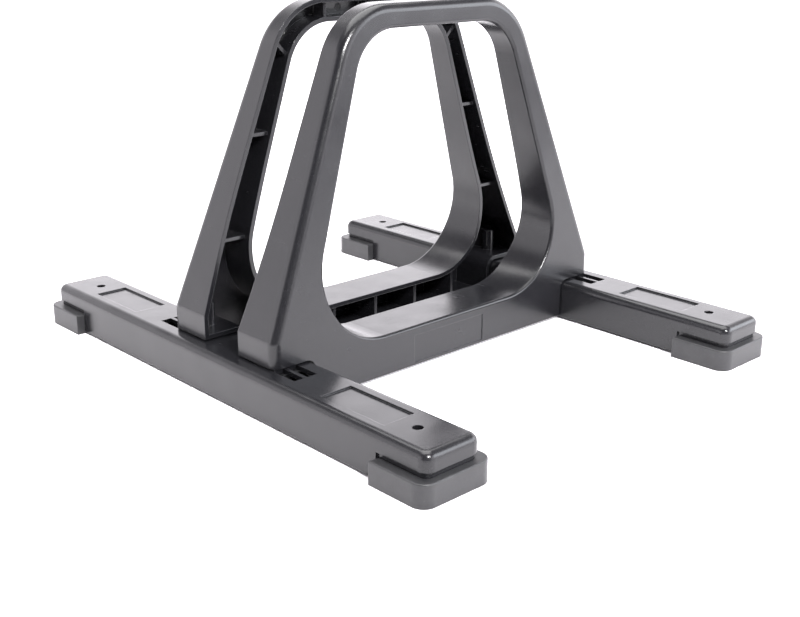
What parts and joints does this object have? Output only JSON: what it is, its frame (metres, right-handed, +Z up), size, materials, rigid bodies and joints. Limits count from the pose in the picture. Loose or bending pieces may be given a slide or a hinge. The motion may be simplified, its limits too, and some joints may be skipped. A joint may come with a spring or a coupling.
{
  "type": "bike floor stand",
  "caption": "Free-standing bike floor stand: moulded hoops that slide on base rails with rubber feet hold a wheel upright between them.",
  "frame": {"origin": "on the floor at the middle of the stand, between the hoops", "axes": "+X along the held wheel's plane to the right, +Y across it along the rails to the rear, +Z up"},
  "size_m": [0.287, 0.3428, 0.2042],
  "materials": {
    "rail_plastic": "satin moulded, dark charcoal",
    "hoop_plastic": "fine-grained satin moulded, dark charcoal",
    "foot_rubber": "smooth moulded rubber",
    "clamp_steel": "black coated steel",
    "screw_steel": "zinc plated"
  },
  "bodies": {
    "rails": {"left_rail": "rail_plastic", "right_rail": "rail_plastic", "front_left_foot": "foot_rubber", "front_right_foot": "foot_rubber", "rear_left_foot": "foot_rubber", "rear_right_foot": "foot_rubber"},
    "front_carriage": {"front_hoop": "hoop_plastic", "front_left_clamp_plate": "clamp_steel", "front_right_clamp_plate": "clamp_steel", "front_clamp_screws": "screw_steel"},
    "rear_carriage": {"rear_hoop": "hoop_plastic", "rear_left_clamp_plate": "clamp_steel", "rear_right_clamp_plate": "clamp_steel", "rear_clamp_screws": "screw_steel"}
  },
  "joints": [
    {"name": "front_slide", "type": "slide", "parent": "rails", "child": "front_carriage", "axis": [0, -1, 0], "range_m": [-0.007, 0.015]},
    {"name": "rear_slide", "type": "slide", "parent": "rails", "child": "rear_carriage", "axis": [0, 1, 0], "range_m": [-0.007, 0.015]}
  ]
}
